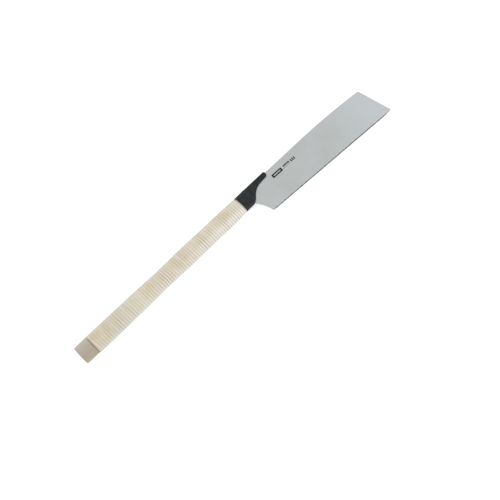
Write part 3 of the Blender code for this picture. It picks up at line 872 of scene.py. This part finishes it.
def blade(body_material, edge, tooth):
    edges = plain_edges()
    roots, points = tooth_line()
    work = bmesh.new()
    inner = pulled_in(edges, EDGE_BREAK)
    low_rim = BLADE_HALF - EDGE_BREAK

    def column(face_at, rim_at, straight):
        """The four vertices through the plate at one place: face, rim, rim, face."""
        top = work.verts.new((face_at[0], face_at[1], BLADE_HALF))
        bottom = work.verts.new((face_at[0], face_at[1], -BLADE_HALF))
        if straight:
            return top, top, bottom, bottom
        high = work.verts.new((rim_at[0], rim_at[1], low_rim))
        low = work.verts.new((rim_at[0], rim_at[1], -low_rim))
        return top, high, low, bottom

    loop = [column(face, rim, False) for face, rim in zip(inner, edges)]
    loop += [column(root, root, True) for root in roots]
    hole = circle(DETENT_HOLE, DETENT_HOLE_RADIUS, 48)
    hole_inner = circle(DETENT_HOLE, DETENT_HOLE_RADIUS + EDGE_BREAK, 48)
    ring = [column(face, rim, False) for face, rim in zip(hole_inner, hole)]

    outline_edges = []
    for columns in (loop, ring):
        for i in range(len(columns)):
            outline_edges.append(work.edges.new((columns[i - 1][0], columns[i][0])))
    bmesh.ops.triangle_fill(work, edges=outline_edges, use_beauty=True)
    below = {c[0]: c[3] for c in loop + ring}
    for face in work.faces[:]:
        work.faces.new([below[vert] for vert in reversed(face.verts)])

    def wall(first, second):
        for level in range(3):
            corners = [first[level], second[level], second[level + 1], first[level + 1]]
            kept = [v for i, v in enumerate(corners) if v not in corners[:i]]
            if len(kept) > 2:
                work.faces.new(kept).material_index = 1

    toothless = len(edges)
    for i in range(len(loop)):
        second = (i + 1) % len(loop)
        if not (i >= toothless and second > toothless):
            wall(loop[i], loop[second])
    for i in range(len(ring)):
        wall(ring[i - 1], ring[i])
    for k, point in enumerate(points):
        side = 1 if k % 2 else -1
        high = BLADE_HALF * (0.95 if side > 0 else 0.1) + side * TOOTH_SET
        low = BLADE_HALF * (-0.1 if side > 0 else -0.95) + side * TOOTH_SET
        top = work.verts.new((point.x, point.y, high))
        bottom = work.verts.new((point.x, point.y, low))
        a, b = loop[toothless + k], loop[toothless + k + 1]
        flanks = (a[0], top, bottom, a[3]), (top, b[0], b[3], bottom)
        for corners in ((a[0], top, b[0]), (a[3], bottom, b[3]), *flanks):
            work.faces.new(corners).material_index = 2
    plate = link("saw_blade", mesh_from("saw_blade", work, 25))
    for material in (body_material, edge, tooth):
        plate.data.materials.append(material)
    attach(plate, "blade")
    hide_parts("blade")


def printed_mark(ink):
    """A plain printed frame, two rows of short dashes and three bars. It spells nothing."""
    low, high = BLADE_HALF - 0.02 * MM, BLADE_HALF + 0.012 * MM
    cosine, sine = math.cos(MARK_SLOPE), math.sin(MARK_SLOPE)

    def placed(points):
        start_x, start_y = MARK_PLACE
        return [(start_x + x * cosine - y * sine, start_y + x * sine + y * cosine) for x, y in points]

    def bar(x, y, width, height, corner=0.3 * MM):
        """Outline of a round-cornered bar that starts at x and is centred on y."""
        outline = []
        for cx, cy, first in (
            (x + width - corner, y + height / 2 - corner, 0),
            (x + corner, y + height / 2 - corner, 90),
            (x + corner, y - height / 2 + corner, 180),
            (x + width - corner, y - height / 2 + corner, 270),
        ):
            for i in range(4):
                angle = math.radians(first + 30 * i)
                outline.append((cx + corner * math.cos(angle), cy + corner * math.sin(angle)))
        return placed(outline)

    window = bar(3.2 * MM, 0.0, 15.6 * MM, 1.9 * MM, 0.5 * MM)
    pieces = [("mark_block", bar(0.0, 0.0, 22.0 * MM, 6.9 * MM, 0.8 * MM), (window,))]
    for i in range(5):
        x = (26.3 + DASH_PITCH * i) * MM
        pieces.append((f"mark_dash_{i}", bar(x, 1.7 * MM, 2.6 * MM, 2.7 * MM), ()))
    for i in range(6):
        x = (23.6 + DASH_PITCH * i) * MM
        pieces.append((f"mark_fine_{i}", bar(x, -1.7 * MM, 1.9 * MM, 0.9 * MM, 0.2 * MM), ()))
    for i in range(3):
        x = (43.2 + BAR_PITCH * i) * MM
        pieces.append((f"mark_tick_{i}", bar(x, 0.1 * MM, 2.2 * MM, 5.4 * MM), ()))
    for name, outline, holes in pieces:
        item = prism(name, outline, low, high, holes)
        item.data.materials.append(ink)
        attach(item, "blade")


# ---------------------------------------------------------------- studio


def aimed(item, place):
    """Puts a lamp or the camera at a place, looking at the target."""
    item.location = place
    item.rotation_mode = "QUATERNION"
    item.rotation_quaternion = (Vector(TARGET) - Vector(place)).to_track_quat("-Z", "Y")


def studio():
    scene = bpy.context.scene
    scene.view_settings.view_transform = "Standard"
    scene.view_settings.look = "None"
    floor_z = cad_low.z - FLOOR_GAP
    work = bmesh.new()
    for x, y in ((-1, -1), (1, -1), (1, 1), (-1, 1)):
        work.verts.new((x * FLOOR_HALF_SIZE, y * FLOOR_HALF_SIZE, floor_z))
    work.faces.new(work.verts[:])
    floor = link("floor", mesh_from("floor", work))
    floor.data.materials.append(floor_material())

    world = bpy.data.worlds.new("soft_studio")
    world.use_nodes = True
    background = world.node_tree.nodes["Background"]
    background.inputs["Color"].default_value = (1.0, 1.0, 1.0, 1.0)
    background.inputs["Strength"].default_value = 1.0
    scene.world = world

    softbox = bpy.data.lights.new("side_softbox", "AREA")
    softbox.shape = "SQUARE"
    softbox.size = LAMP_SIZE
    softbox.energy = LAMP_POWER
    aimed(link("side_softbox", softbox), LAMP_PLACE)

    data = bpy.data.cameras.new("camera")
    data.sensor_width = 36.0
    data.lens = CAMERA_LENS
    data.clip_start, data.clip_end = 0.01, 20.0
    camera = link("camera", data)
    aimed(camera, CAMERA_PLACE)
    scene.camera = camera


def dress_inner_nodes():
    """The pieces inside the head keep their CAD shape and get finished metal."""
    spring = plain_steel_material("spring_steel_ground", tone(118, 120, 124), tone(146, 148, 152))
    turned = plain_steel_material("rivet_steel_turned", tone(150, 152, 154), tone(182, 184, 186))
    for name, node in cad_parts.items():
        if node.hide_render:
            continue
        for slot in node.material_slots:
            slot.material = spring if name == "blade_clamp" else turned


wood_core(wood_material())
rattan_winding(rattan_material())
collar(collar_material())
head(black_material())
blade(blade_material(), edge_material(), tooth_material())
printed_mark(ink_material())
dress_inner_nodes()
studio()
